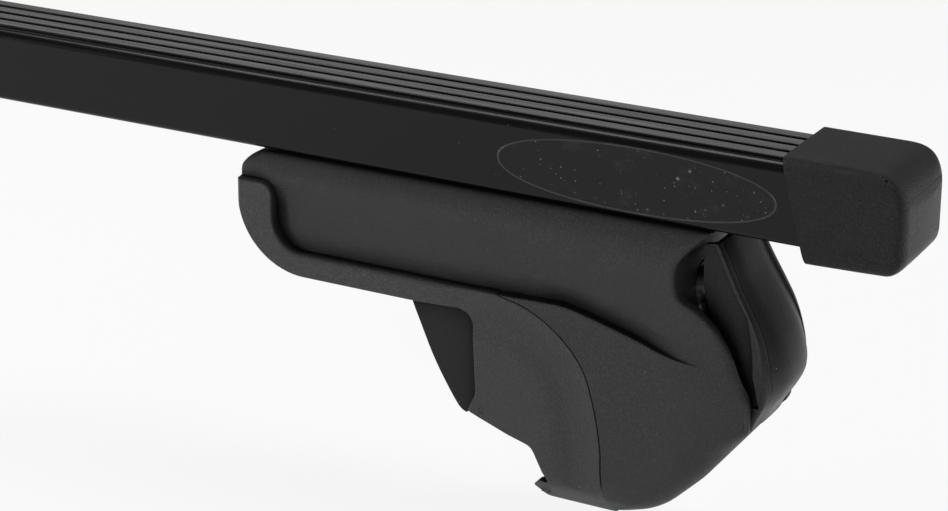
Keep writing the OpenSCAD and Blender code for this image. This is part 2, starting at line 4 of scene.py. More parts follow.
import bpy
import bmesh
import numpy as np
from mathutils import Matrix, Vector
from mathutils.geometry import delaunay_2d_cdt

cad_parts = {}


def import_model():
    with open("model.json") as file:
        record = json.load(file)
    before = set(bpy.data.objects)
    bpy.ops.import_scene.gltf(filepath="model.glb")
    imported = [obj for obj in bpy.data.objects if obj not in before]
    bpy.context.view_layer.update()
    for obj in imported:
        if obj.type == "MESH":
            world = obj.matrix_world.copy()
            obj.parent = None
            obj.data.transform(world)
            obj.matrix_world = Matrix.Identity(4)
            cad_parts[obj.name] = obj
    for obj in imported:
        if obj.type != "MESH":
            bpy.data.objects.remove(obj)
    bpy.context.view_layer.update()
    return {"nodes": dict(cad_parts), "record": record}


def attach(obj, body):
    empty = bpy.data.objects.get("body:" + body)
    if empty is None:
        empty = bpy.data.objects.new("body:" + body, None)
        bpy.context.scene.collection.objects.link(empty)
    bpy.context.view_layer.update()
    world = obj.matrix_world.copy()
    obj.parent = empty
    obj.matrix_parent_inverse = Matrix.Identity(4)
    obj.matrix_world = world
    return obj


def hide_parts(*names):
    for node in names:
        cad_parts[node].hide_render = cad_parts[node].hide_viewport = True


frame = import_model()

MM = 0.001
SCENE = bpy.context.scene
NODES = frame["nodes"]


# materials

# Widest gap, in metres, that counts as a nook and gets painted shade.
SHADE_REACH = 0.014


class Shader:
    """A principled material whose nodes are added one at a time."""

    def __init__(self, name):
        self.mat = bpy.data.materials.new(name)
        self.mat.use_nodes = True
        self.tree = self.mat.node_tree
        self.bsdf = self.tree.nodes["Principled BSDF"]
        self.coords = self.tree.nodes.new("ShaderNodeTexCoord").outputs["Object"]

    def node(self, kind, **settings):
        n = self.tree.nodes.new(kind)
        for key, value in settings.items():
            setattr(n, key, value)
        return n

    def link(self, a, b):
        self.tree.links.new(a, b)

    def noise(self, scale, detail=3.0, rough=0.5, stretch=None):
        n = self.node("ShaderNodeTexNoise")
        n.inputs["Scale"].default_value = scale
        n.inputs["Detail"].default_value = detail
        n.inputs["Roughness"].default_value = rough
        if stretch:
            m = self.node("ShaderNodeMapping")
            m.inputs["Scale"].default_value = stretch
            self.link(self.coords, m.inputs["Vector"])
            self.link(m.outputs["Vector"], n.inputs["Vector"])
        else:
            self.link(self.coords, n.inputs["Vector"])
        return n.outputs["Fac"]

    def ramp(self, source, stops):
        r = self.node("ShaderNodeValToRGB")
        el = r.color_ramp.elements
        while len(el) < len(stops):
            el.new(0.5)
        for e, (pos, value) in zip(el, stops):
            e.position = pos
            e.color = (value, value, value, 1)
        self.link(source, r.inputs["Fac"])
        return r.outputs["Color"]

    def mix(self, share, a, b):
        """Mix of two colours, each a socket or a tuple. The node's colours are inputs 6 and 7."""
        m = self.node("ShaderNodeMix", data_type="RGBA")
        self.link(share, m.inputs[0])
        for socket, value in ((m.inputs[6], a), (m.inputs[7], b)):
            if isinstance(value, tuple):
                socket.default_value = (*value, 1)
            else:
                self.link(value, socket)
        return m.outputs[2]

    def specks(self, per_metre, radius, keep, strength):
        """Mask of small round dust specks, each of its own strength."""
        v = self.node("ShaderNodeTexVoronoi")
        v.inputs["Scale"].default_value = per_metre
        self.link(self.coords, v.inputs["Vector"])
        dot = self.ramp(v.outputs["Distance"], [(radius * 0.55, 1.0), (radius, 0.0)])
        split = self.node("ShaderNodeSeparateColor")
        self.link(v.outputs["Color"], split.inputs[0])
        some = self.ramp(split.outputs[0], [(1 - keep, 0.0), (1.0, strength)])
        m = self.node("ShaderNodeMath", operation="MULTIPLY")
        self.link(dot, m.inputs[0])
        self.link(some, m.inputs[1])
        return m.outputs[0]

    def bump(self, height, distance, strength=1.0, normal=None):
        b = self.node("ShaderNodeBump")
        b.inputs["Strength"].default_value = strength
        b.inputs["Distance"].default_value = distance
        self.link(height, b.inputs["Height"])
        if normal is not None:
            self.link(normal, b.inputs["Normal"])
        return b.outputs["Normal"]


def moulded(name, base, rough, grain=0.00016, grain_scale=2300, specular=0.5, dust=0.6):
    """Black plastic: fine grain, cloudy sheen, paler sharp edges, painted shade in nooks and a
    little dust.
    """
    s = Shader(name)
    cloud = s.noise(26, 3, 0.6)
    fine = s.noise(grain_scale, 3, 0.65)
    pale = tuple(c * 2.2 + 0.01 for c in base)
    dark = tuple(c * 0.8 for c in base)
    colour = s.mix(s.ramp(cloud, [(0.35, 0.0), (0.7, 1.0)]), dark, base)
    colour = s.mix(s.ramp(fine, [(0.5, 0.0), (0.72, 0.8)]), colour, pale)
    # Lighter colour along sharp convex edges, where the mesh is most pointed.
    geo = s.node("ShaderNodeNewGeometry")
    pointed_edges = s.ramp(geo.outputs["Pointiness"], [(0.52, 0.0), (0.6, 0.5)])
    colour = s.mix(pointed_edges, colour, tuple(c * 1.9 + 0.015 for c in base))
    colour = s.mix(s.specks(250, 0.05, 0.35, dust), colour, (0.5, 0.5, 0.5))
    colour = s.mix(s.specks(420, 0.05, 0.3, dust * 0.6), colour, (0.3, 0.3, 0.3))
    # Painted shade: the colour is darkened where ambient occlusion finds surfaces close by, in
    # nooks, creases and under the crossbar.
    nook = s.node("ShaderNodeAmbientOcclusion", samples=8)
    nook.inputs["Distance"].default_value = SHADE_REACH
    open_to_light = s.ramp(nook.outputs["AO"], [(0.45, 0.0), (0.95, 1.0)])
    colour = s.mix(open_to_light, tuple(c * 0.2 for c in base), colour)
    s.link(colour, s.bsdf.inputs["Base Color"])
    s.link(s.ramp(cloud, [(0.3, rough - 0.04), (0.7, rough + 0.05)]), s.bsdf.inputs["Roughness"])
    # Painted shade on the reflections as well: the specular level falls where the occlusion is
    # strong.
    shaded_specular = s.ramp(nook.outputs["AO"], [(0.5, specular * 0.15), (0.95, specular)])
    s.link(shaded_specular, s.bsdf.inputs["Specular IOR Level"])
    s.link(s.bump(fine, grain), s.bsdf.inputs["Normal"])
    return s.mat


def metal(name, base, rough, stretch=(1, 1, 1), metallic=1.0):
    """Plated or coated steel with a drawn grain and a cloudy surface."""
    s = Shader(name)
    cloud = s.noise(60, 4, 0.6, stretch)
    fine = s.noise(840, 2, 0.6, stretch)
    colour = s.mix(s.ramp(cloud, [(0.3, 0.0), (0.75, 1.0)]), tuple(c * 0.8 for c in base), base)
    s.link(colour, s.bsdf.inputs["Base Color"])
    s.link(s.ramp(fine, [(0.3, rough - 0.06), (0.75, rough + 0.1)]), s.bsdf.inputs["Roughness"])
    s.bsdf.inputs["Metallic"].default_value = metallic
    s.link(s.bump(fine, 0.00003), s.bsdf.inputs["Normal"])
    return s.mat


def gloss_sheath():
    """Black extruded plastic with faint draw lines along the bar."""
    s = Shader("sheath_gloss")
    lines = s.noise(900, 2, 0.5, (0.02, 1, 1))
    cloud = s.noise(18, 3, 0.6, (0.4, 1, 1))
    wave = s.noise(14, 1, 0.5, (0.3, 1, 1))
    colour = s.mix(s.ramp(cloud, [(0.3, 0.0), (0.7, 1.0)]), (0.002, 0.002, 0.0022),
                   (0.0045, 0.0045, 0.0048))
    colour = s.mix(s.specks(260, 0.05, 0.3, 0.5), colour, (0.3, 0.3, 0.3))
    s.link(colour, s.bsdf.inputs["Base Color"])
    s.link(s.ramp(lines, [(0.3, 0.16), (0.7, 0.27)]), s.bsdf.inputs["Roughness"])
    s.bsdf.inputs["Specular IOR Level"].default_value = 0.22
    bumped = s.bump(lines, 0.000012, 0.6)
    s.link(s.bump(wave, 0.00025, 0.5, bumped), s.bsdf.inputs["Normal"])
    return s.mat


def film_edge_material():
    """Cut edge of the clear film, painted lighter than the bar as a highlight where it catches the
    light.
    """
    s = Shader("film_edge")
    # Painted highlight: the edge ring is lighter than the black bar under it.
    s.link(s.ramp(s.noise(120, 3, 0.6), [(0.3, 0.006), (0.7, 0.02)]), s.bsdf.inputs["Base Color"])
    s.bsdf.inputs["Roughness"].default_value = 0.35
    return s.mat


def film_material():
    """Clear film over the black bar: glossy, with dust caught under it and fine rub marks."""
    s = Shader("clear_film")
    cloud = s.noise(55, 5, 0.7, (1, 1, 1.6))
    haze = s.ramp(cloud, [(0.52, 0.0), (0.7, 0.8)])
    colour = s.mix(haze, (0.004, 0.004, 0.0045), (0.022, 0.0225, 0.023))
    colour = s.mix(s.specks(260, 0.16, 0.7, 0.8), colour, (0.2, 0.2, 0.2))
    colour = s.mix(s.specks(620, 0.14, 0.8, 0.8), colour, (0.24, 0.24, 0.24))
    s.link(colour, s.bsdf.inputs["Base Color"])
    s.link(s.ramp(cloud, [(0.4, 0.12), (0.7, 0.3)]), s.bsdf.inputs["Roughness"])
    s.bsdf.inputs["Specular IOR Level"].default_value = 0.24
    s.link(s.bump(s.noise(90, 2, 0.5), 0.00004, 0.5), s.bsdf.inputs["Normal"])
    return s.mat


MATS = {
    "sheath_plastic": gloss_sheath(),
    "galvanised_steel": metal("core_steel", (0.42, 0.43, 0.45), 0.42, (0.1, 1, 1)),
    "cap_plastic": moulded("cap_grain", (0.007, 0.007, 0.0073), 0.34, grain=0.0012,
                           grain_scale=1500, specular=0.26),
    "housing_plastic": moulded("housing_grain", (0.022, 0.022, 0.0225), 0.38, grain=0.0004,
                               specular=0.26),
    "shoe_plastic": moulded("shoe_grain", (0.038, 0.038, 0.0385), 0.4, grain=0.0004,
                            specular=0.26),
    "jaw_plastic": moulded("jaw_grain", (0.006, 0.006, 0.0065), 0.6, specular=0.16),
    "cover_plastic": moulded("cover_grain", (0.009, 0.009, 0.0094), 0.36, specular=0.26),
    "rubber": moulded("pad_rubber", (0.008, 0.008, 0.008), 0.72, dust=0.2),
    "zinc_steel": metal("zinc_plate", (0.55, 0.55, 0.54), 0.34),
    "spring_steel": metal("dark_spring", (0.06, 0.06, 0.065), 0.42),
    "claw_steel": metal("coated_claw", (0.26, 0.27, 0.28), 0.48, metallic=0.8),
}

DARK_PARTS = ("jaw_pin", "cover_hinge_pin", "thrust_washer")


def dress_nodes():
    """Gives each CAD node the material of its slot, and three small steel parts the dark one."""
    slot_of = {p["node"]: p["material_slot"] for p in frame["record"]["subparts"]}
    for name, obj in NODES.items():
        mat = MATS["spring_steel" if name in DARK_PARTS else slot_of[name]]
        if not obj.material_slots:
            obj.data.materials.append(mat)
        for slot in obj.material_slots:
            slot.material = mat


# lines and outlines in X and Z, in millimetres

ARC_STEP = 5.0


def arc(c, r, a0, a1):
    """Points on an arc about c, from one angle to another in degrees."""
    n = max(2, math.ceil(abs(a1 - a0) / ARC_STEP))
    return [(c[0] + r * math.cos(math.radians(a0 + (a1 - a0) * i / n)),
             c[1] + r * math.sin(math.radians(a0 + (a1 - a0) * i / n))) for i in range(n + 1)]


def rounded(pts):
    """Outline whose third value in a point is the radius of that corner."""
    out = []
    n = len(pts)
    for i, p in enumerate(pts):
        r = p[2] if len(p) > 2 else 0
        c = np.array(p[:2], float)
        u = np.array(pts[i - 1][:2], float) - c
        v = np.array(pts[(i + 1) % n][:2], float) - c
        lu, lv = np.linalg.norm(u), np.linalg.norm(v)
        u, v = u / lu, v / lv
        half = math.acos(max(-1, min(1, u @ v))) / 2
        if r <= 0 or half > math.radians(89):
            out.append(tuple(c))
            continue
        rr = min(r, 0.49 * min(lu, lv) * math.tan(half))
        mid = (u + v) / np.linalg.norm(u + v)
        centre = c + mid * rr / math.sin(half)
        a = math.atan2(*(c + u * rr / math.tan(half) - centre)[::-1])
        b = math.atan2(*(c + v * rr / math.tan(half) - centre)[::-1])
        sweep = (b - a + math.pi) % (2 * math.pi) - math.pi
        out += arc(centre, rr, math.degrees(a), math.degrees(a + sweep))
    return out


def curve(pts, steps):
    """Smooth line through points, in so many steps from each to the next."""
    out = []
    m = len(pts) - 1
    for i in range(m):
        a, b, c, d = (np.array(pts[max(0, min(m, k))], float) for k in (i - 1, i, i + 1, i + 2))
        for k in range(steps):
            t = k / steps
            out.append(tuple(0.5 * (2 * b + (c - a) * t + (2 * a - 5 * b + 4 * c - d) * t * t
                                    + (3 * b - a - 3 * c + d) * t ** 3)))
    out.append(tuple(pts[m]))
    return out


def dense(pts, gap, closed=True):
    """The same line with points at most gap apart, and without points that coincide."""
    out = []
    n = len(pts)
    for i in range(n if closed else n - 1):
        a, b = np.array(pts[i], float), np.array(pts[(i + 1) % n], float)
        k = max(1, math.ceil(np.linalg.norm(b - a) / gap))
        out += [tuple(a + (b - a) * j / k) for j in range(k)]
    if not closed:
        out.append(tuple(pts[-1]))
    keep = [out[0]]
    for p in out[1:]:
        if math.hypot(p[0] - keep[-1][0], p[1] - keep[-1][1]) > 0.02:
            keep.append(p)
    return keep


def left_of(t):
    """Unit vectors to the left of many directions."""
    t = t / np.maximum(1e-9, np.linalg.norm(t, axis=1))[:, None]
    return np.stack([-t[:, 1], t[:, 0]], 1)


def inset(pts, d):
    """Each point of a closed outline moved by d to the left of the way it runs."""
    p = np.array(pts, float)
    return p + d * left_of(np.roll(p, -1, 0) - np.roll(p, 1, 0))


def anticlockwise(pts):
    """The same closed outline, turned round if it runs clockwise."""
    p = np.array(pts)
    q = np.roll(p, -1, 0)
    area = np.sum(p[:, 0] * q[:, 1] - p[:, 1] * q[:, 0])
    return pts[::-1] if area < 0 else pts


def inside(pts, poly):
    """Even-odd test of many points against one outline."""
    x, z = pts[:, 0], pts[:, 1]
    hit = np.zeros(len(pts), bool)
    p = np.array(poly)
    q = np.roll(p, -1, 0)
    for (x0, z0), (x1, z1) in zip(p, q):
        if z0 == z1:
            continue
        cross = ((z0 > z) != (z1 > z)) & (x < (x1 - x0) * (z - z0) / (z1 - z0) + x0)
        hit ^= cross
    return hit


BATCH = 1500


def nearest(pts, seg_a, seg_b):
    """Distance from each point to the nearest of many segments, and which one it is."""
    best = np.zeros(len(pts))
    which = np.zeros(len(pts), int)
    ab = seg_b - seg_a
    ll = np.maximum(1e-12, np.sum(ab * ab, 1))
    for i in range(0, len(pts), BATCH):
        p = pts[i:i + BATCH, None, :]
        t = np.clip(np.sum((p - seg_a) * ab, 2) / ll, 0, 1)
        dist = np.linalg.norm(p - (seg_a + t[..., None] * ab), axis=2)
        which[i:i + BATCH] = dist.argmin(1)
        best[i:i + BATCH] = dist.min(1)
    return best, which


def to_line(pts, line):
    """Distance from each point to an open line, and on which side it lies (+1 is left)."""
    a, b = np.array(line[:-1]), np.array(line[1:])
    dist, k = nearest(pts, a, b)
    t = b[k] - a[k]
    r = pts - a[k]
    return dist, np.sign(t[:, 0] * r[:, 1] - t[:, 1] * r[:, 0])


def step(x, a, b):
    """Smooth change from nought at a to one at b."""
    t = np.clip((x - a) / (b - a), 0, 1)
    return t * t * (3 - 2 * t)


def roll(d, r):
    """How far an edge of radius r has fallen back at distance d from the outline."""
    u = np.clip(1 - d / r, 0, 1)
    return r * (1 - np.sqrt(1 - u * u))


# outlines of the foot
# FINGER is the S-shaped edge beside the cover, and HOOK the leg with the seat for the rail.
# SEAM parts the housing from the shoe, whose region is SHOE. PROUD is the crease over the leg.

RISE, LEG, NOSE = 89.0, 82.5, -88.5
TOP = RISE - 0.4
RIM = RISE - 36.8
RIM_TOP = RIM + 28
CREASE = RIM + 7.4
FINGER = curve([(LEG - 14.2, TOP), (LEG - 18.6, TOP - 4.3), (LEG - 22.2, TOP - 8.7),
                (LEG - 23.2, TOP - 12.6), (LEG - 22.6, TOP - 17.3), (LEG - 21, TOP - 19.9),
                (LEG - 16.2, TOP - 22.5), (LEG - 11.2, TOP - 26.8), (LEG - 7.7, TOP - 31.5),
                (LEG - 3.6, TOP - 38.5), (LEG - 0.9, TOP - 45.5), (LEG, TOP - 50.6)], 3)
HOOK = [(LEG, TOP - 58.1, 5), (LEG - 13.7, 0.43 * (TOP - 58.1), 30), (56.4, 0.9, 26),
        (43, -3.2, 30), (21, -3.6, 4.6), (16.5, 1.1, 1), (18.4, 3.1, 0.6), (21.4, 2.8, 0.3),
        (19.5, 6.1, 0.5), (15.8, 13.4, 3.5), (8, 15.6, 14), (-1.8, 19.1, 6),
        (-5.6, 20.6, 1.2), (-2.9, 26.5, 4), (-4.7, RIM + 0.6, 5.5), (-26, RIM)]
FOOT = rounded(FINGER + HOOK + arc((26 + NOSE, RIM + 23.5), 23.5, 270, 186)
               + [(1.3 + NOSE, RIM_TOP)] + arc((10.2 + NOSE, TOP - 9.6), 9.6, 169, 90))
SEAM = curve([(3, CREASE + 0.2), (13.3, CREASE - 2.2), (23.5, CREASE - 8), (31.9, CREASE - 17.3),
              (36.1, CREASE - 29), (38.5, 18.3), (38.9, 10), (40, 2.2), (42.5, -2)], 6)
SHOE = rounded(SEAM + [(42.5, -20), (NOSE - 10, -20), (NOSE - 10, RIM_TOP),
                       (NOSE + 14.8, RIM_TOP, 4), (NOSE + 15.1, CREASE, 17.5), (-10, CREASE)])
PROUD = curve([(0, CREASE), (18, CREASE + 0.6), (28, CREASE + 0.2), (45.7, CREASE - 4.2),
               (64, CREASE - 9.3), (LEG + 6, CREASE - 11)], 6)
RIM_LINE = [p for p in dense(SHOE, 0.8) if p[1] > CREASE - 0.1 and p[0] < 4]

# How far a skin lies inside the outline, and how far each part stands off the seam.
SKIN = 0.04
SEAM_GAP = 0.02
# Distances of the rows of points beside an outline, and between the points elsewhere.
EDGE_ROWS = (0.06, 0.16, 0.32, 0.55, 0.9, 1.4, 2.1)
SPACING = 1.15
GRID_FROM_EDGE, GRID_FROM_ROWS = 2.5, 0.5
LINE_FROM_EDGE = 0.12
COINCIDE = 1e-4


class Piece:
    """Shoe or housing: what of the foot's outline lies inside or outside the shoe's region."""

    def __init__(self, is_shoe):
        foot = anticlockwise(dense(FOOT, 0.7))
        shoe = anticlockwise(dense(SHOE, 0.7))
        self.is_shoe = is_shoe
        self.foot = inset(foot, SKIN)
        self.region = inset(shoe, SEAM_GAP if is_shoe else -SEAM_GAP)
        fa, fb = self.foot, np.roll(self.foot, -1, 0)
        ra, rb = self.region, np.roll(self.region, -1, 0)
        mine = inside((fa + fb) / 2, self.region) == is_shoe
        cut = inside((ra + rb) / 2, self.foot)
        self.a = np.vstack([fa[mine], ra[cut]])
        self.b = np.vstack([fb[mine], rb[cut]])
        self.outer = np.concatenate([np.ones(mine.sum(), bool), np.zeros(cut.sum(), bool)])

    def holds(self, pts):
        return inside(pts, self.foot) & (inside(pts, self.region) == self.is_shoe)

    def ring_points(self):
        """Rows of points just inside the outline, close together where its edge rolls."""
        nrm = left_of(self.b - self.a)
        mid = (self.a + self.b) / 2
        rows = []
        for d in EDGE_ROWS:
            every = 1 if d < 1 else 2
            for side in (1, -1):
                q = mid[::every] + side * d * nrm[::every]
                q = q[self.holds(q)]
                dist, _ = nearest(q, self.a, self.b)
                rows.append(q[dist > 0.93 * d])
        return rows

    def line_points(self, line, offsets):
        """Rows of points beside an open line that crosses the piece."""
        p = np.array(line)
        nrm = left_of(np.gradient(p, axis=0))
        rows = []
        for d in offsets:
            q = p + d * nrm
            q = q[self.holds(q)]
            if len(q):
                dist, _ = nearest(q, self.a, self.b)
                rows.append(q[dist > LINE_FROM_EDGE])
        return rows

    def grid_points(self, extra):
        """Points in a hexagonal pattern over the rest of the piece."""
        lo, hi = self.foot.min(0), self.foot.max(0)
        grid = []
        for j, z in enumerate(np.arange(lo[1], hi[1], SPACING * 0.866)):
            for x in np.arange(lo[0] + (j % 2) * SPACING / 2, hi[0], SPACING):
                grid.append((x, z))
        grid = np.array(grid)
        grid = grid[self.holds(grid)]
        dist, _ = nearest(grid, self.a, self.b)
        grid = grid[dist > GRID_FROM_EDGE]
        for line, offsets in extra:
            far, _ = to_line(grid, line)
            grid = grid[far > max(abs(o) for o in offsets) + GRID_FROM_ROWS]
        return grid

    def flat(self, extra):
        """Triangles over the piece in X and Z, all turned the same way."""
        rows = self.ring_points()
        for line, offsets in extra:
            rows += self.line_points(line, offsets)
        n, m = len(self.foot), len(self.region)
        co = np.vstack([self.foot, self.region, np.vstack(rows), self.grid_points(extra)])
        edges = [(i, (i + 1) % n) for i in range(n)] + [(n + i, n + (i + 1) % m) for i in range(m)]
        points, _, faces, *_ = delaunay_2d_cdt([Vector(p) for p in co], edges, [], 0, COINCIDE)
        v = np.array([tuple(p) for p in points])
        f = np.array([t for t in faces if len(t) == 3])
        f = f[self.holds(v[f].mean(1))]
        used = np.unique(f)
        back = np.full(len(v), -1)
        back[used] = np.arange(len(used))
        v, f = v[used], back[f]
        turned = np.cross(v[f[:, 1]] - v[f[:, 0]], v[f[:, 2]] - v[f[:, 0]]) < 0
        f[turned] = f[turned][:, ::-1]
        return v, f

    def mesh(self, radius, half_width, extra=()):
        """Front and back surfaces, rounded over at the outline and joined round it."""
        v, f = self.flat(extra)
        dist, which = nearest(v, self.a, self.b)
        h = half_width(v) - roll(dist, radius(v, self.outer[which]))
        sides = dict.fromkeys(e for a, b, c in f for e in ((a, b), (b, c), (c, a)))
        rim = [e for e in sides if (e[1], e[0]) not in sides]
        k = len(v)
        verts = [(x * MM, -y * MM, z * MM) for (x, z), y in zip(v, h)]
        verts += [(x * MM, y * MM, z * MM) for (x, z), y in zip(v, h)]
        tris = [tuple(t) for t in f] + [(t[2] + k, t[1] + k, t[0] + k) for t in f]
        tris += [(b, a, a + k, b + k) for a, b in rim]
        return verts, tris


# forms of the long sides: half-widths and edge radii at points in X and Z

BODY_HALF, LEG_HALF = 19.62, 21.94


def plan_fall(x):
    """How far the side draws in towards the end with the cover."""
    return 3.2 * np.clip((x - 60) / 21, 0, 1.2) ** 1.6


def rim_hollow(p):
    """Depth of the soft hollow where the body meets the rim and the crease."""
    x, z = p[:, 0], p[:, 1]
    left, _ = nearest(p, np.array(RIM_LINE[:-1]), np.array(RIM_LINE[1:]))
    right, _ = to_line(p, PROUD)
    near = np.minimum(np.where(x < 8, left, 99), np.where(x > -4, right, 99))
    depth = (1.1 + 0.7 * step(x, 14, 24)) * (1 - step(x, 42, 72))
    depth *= 1 - step(z, 72, 79) * (x < 0)
    return depth * (1 - step(near, 0, 7.5)) ** 1.3


def body_half(p):
    """Half-width of the upper body: a pillow that swells towards the cover."""
    x, z = p[:, 0], p[:, 1]
    base = BODY_HALF + 1.45 * step(x, 4, 48) + 0.45 * step(x, 50, 60)
    base -= 0.95 * (1 - step(x, -79.5, -75)) * step(z, 66, 72)
    top = 21.55 - 6.1 * np.clip((z - 73) / 15.6, 0, 1.2) ** 2.1
    pillow = np.minimum(base, top) - 0.35 * np.exp(-np.abs(base - top) / 0.7)
    return pillow - rim_hollow(p) - plan_fall(x)


def leg_half(p):
    """Half-width of the lower part, which bows a little along its length."""
    x, z = p[:, 0], p[:, 1]
    bow = 0.5 * np.clip((26 - z) / 30, 0, 1) ** 2
    return LEG_HALF - 0.25 * step(x, 58, 80) - plan_fall(x) - bow


def housing_half(p):
    """Half-width of the housing: its body above the crease and its leg below it."""
    x, z = p[:, 0], p[:, 1]
    up, low = body_half(p), leg_half(p)
    far, side = to_line(p, PROUD)
    above = far * side
    edge = roll(np.maximum(0, -above), 0.9) * (1 - step(x, 48, 72))
    low = up + (low - up) * (1 - step(x, 56, 74) * step(z, 40, 50))
    low = low - np.minimum(edge, np.maximum(0, low - up))
    lip = np.where(x > 0, 1 - step(above, -0.12, 0.12), 0)
    return up * (1 - lip) + low * lip


def housing_radius(p, outer):
    """Radius of the housing's edge beside each point. Outer edges lie on the foot's outline."""
    x, z = p[:, 0], p[:, 1]
    r = np.full(len(p), 0.3)
    r[outer] = 0.9
    hook = outer & (z < 60)
    r[hook] = 1.2 + 2.2 * step(60 - z[hook], 0, 10) * step(z[hook], 39, 46)
    r[hook] += 5.6 * step(34 - z[hook], 0, 12)
    scoop = outer & (z >= 60)
    r[scoop] = 1.2 + 0.3 * step(z[scoop], 60, 70)
    r[~outer & (x > 24)] = 0.5
    return r


def shoe_half(p):
    """Half-width of the rail shoe, with a soft valley beside the seam."""
    x, z = p[:, 0], p[:, 1]
    bow = 0.5 * np.clip((20 - z) / 25, 0, 1) ** 2
    from_seam, _ = to_line(p, SEAM)
    depth = 1.8 * step(z, 62, 40) * step(z, -4, 14)
    valley = depth * np.exp(-((from_seam - 9.5) / 5.0) ** 2)
    fall = 0.3 * step(x, -60, -30) * (1 - step(z, 57, 60)) * np.clip((x + 30) / 60, 0, 1)
    return LEG_HALF - bow - valley - fall


def shoe_radius(p, outer):
    """Radius of the shoe's edge beside each point."""
    x, z = p[:, 0], p[:, 1]
    inner = 0.45 + 1.65 * (1 - step(x, -20, 26)) * step(x, -76, -66)
    r = np.where(outer, 0.55, inner)
    low = outer & (z < 9)
    r[low] = 0.55 + 3.6 * step(9 - z[low], 0, 8) * step(x[low], 17, 30)
    return r


# skins cut to the solids

def new_mesh(name, verts, faces, material, smooth=True):
    """Adds a mesh object with one material to the scene."""
    me = bpy.data.meshes.new(name)
    me.from_pydata([tuple(v) for v in verts], [], [tuple(f) for f in faces])
    me.update()
    me.polygons.foreach_set("use_smooth", [smooth] * len(me.polygons))
    ob = bpy.data.objects.new(name, me)
    SCENE.collection.objects.link(ob)
    me.materials.append(material)
    return ob


def weld_copy(node):
    """A separate copy of a CAD node in world place, with its seams welded, and if it is closed."""
    src = NODES[node]
    me = src.data.copy()
    me.transform(src.matrix_world)
    bm = bmesh.new()
    bm.from_mesh(me)
    bmesh.ops.remove_doubles(bm, verts=bm.verts, dist=2e-6)
    closed = all(len(e.link_faces) == 2 for e in bm.edges)
    bm.to_mesh(me)
    bm.free()
    ob = bpy.data.objects.new(node + "_copy", me)
    SCENE.collection.objects.link(ob)
    return ob, closed


def smooth_by_angle(me, degrees):
    """Shades a mesh smooth, apart from edges that are sharper than an angle."""
    bm = bmesh.new()
    bm.from_mesh(me)
    bmesh.ops.remove_doubles(bm, verts=bm.verts, dist=1e-6)
    limit = math.radians(degrees)
    for f in bm.faces:
        f.smooth = True
    for e in bm.edges:
        e.smooth = len(e.link_faces) == 2 and e.calc_face_angle(0) < limit
    bm.to_mesh(me)
    bm.free()


def box_object(lo, hi):
    """Plain block that only helps in a cut and is then removed."""
    bm = bmesh.new()
    bmesh.ops.create_cube(bm, size=1)
    for v in bm.verts:
        v.co = [((a + b) / 2 + c * (b - a)) * MM for a, b, c in zip(lo, hi, v.co)]
    me = bpy.data.meshes.new("block")
    bm.to_mesh(me)
    bm.free()
    ob = bpy.data.objects.new("block", me)
    SCENE.collection.objects.link(ob)
    return ob


def turn_outwards(me):
    """Makes the faces of a mesh look the same way and splits the ones with many corners."""
    bm = bmesh.new()
    bm.from_mesh(me)
    bmesh.ops.recalc_face_normals(bm, faces=bm.faces)
    bmesh.ops.triangulate(bm, faces=[f for f in bm.faces if len(f.verts) > 4])
    bm.to_mesh(me)
    bm.free()


def shaped(name, node, skin, slot, body="foot", angle=32, fill=()):
    """Puts in a CAD node's place what the node and a smooth skin have in common."""
    piece = new_mesh(name, *skin, MATS[slot])
    turn_outwards(piece.data)
    copy, closed = weld_copy(node)
    blocks = [box_object(lo, hi) for lo, hi in fill]
    for block in blocks:
        join = copy.modifiers.new("fill", "BOOLEAN")
        join.operation = "UNION"
        join.solver = "EXACT"
        join.object = block
    cut = piece.modifiers.new("cut", "BOOLEAN")
    cut.operation = "INTERSECT"
    cut.solver = "MANIFOLD" if closed else "EXACT"
    cut.object = copy
    deps = bpy.context.evaluated_depsgraph_get()
    me = bpy.data.meshes.new_from_object(piece.evaluated_get(deps))
    old = piece.data
    piece.modifiers.clear()
    piece.data = me
    bpy.data.meshes.remove(old)
    me.materials.clear()
    me.materials.append(MATS[slot])
    smooth_by_angle(me, angle)
    for helper in [copy] + blocks:
        bpy.data.objects.remove(helper)
    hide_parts(node)
    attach(piece, body)


# end cap

HALVINGS = 17


def star_skin(field, centre, half, cuts):
    """Closed surface where field is nought, sought outwards from the centre along many rays."""
    bm = bmesh.new()
    bmesh.ops.create_cube(bm, size=2)
    bmesh.ops.subdivide_edges(bm, edges=bm.edges, cuts=cuts, use_grid_fill=True)
    rays = np.array([tuple(v.co) for v in bm.verts])
    rays = np.sign(rays) * np.abs(rays) ** 0.8 * np.array(half)
    lo = np.zeros(len(rays))
    hi = np.full(len(rays), 1.7)
    for _ in range(HALVINGS):
        mid = (lo + hi) / 2
        out = field(np.array(centre) + rays * mid[:, None]) > 0
        hi = np.where(out, mid, hi)
        lo = np.where(out, lo, mid)
    verts = (np.array(centre) + rays * ((lo + hi) / 2)[:, None]) * MM
    faces = [tuple(v.index for v in f.verts) for f in bm.faces]
    bm.free()
    return verts, faces


def outline_field(poly):
    """Distance to an outline, negative inside it."""
    a = np.array(poly, float)
    b = np.roll(a, -1, 0)

    def field(p):
        d, _ = nearest(p, a, b)
        return np.where(inside(p, a), -d, d)
    return field


def soft_max(a, b, k):
    """Larger of two values, with the change from one to the other rounded over k."""
    return np.maximum(a, b) + np.maximum(k - np.abs(a - b), 0) ** 2 / (4 * k)


CAP_HALF = 18.5
CAP_LOW, CAP_HIGH = RISE - 4.7, RISE + 25.9
# Blocks that close the corner of the solid over the end of the crossbar, as two corners each.
CAP_FILL = [((117.97, -18.3, RISE + 18), (124.6, 18.3, RISE + 26.4)),
            ((106, -18.3, RISE + 24.06), (118.1, 18.3, RISE + 26.4))]


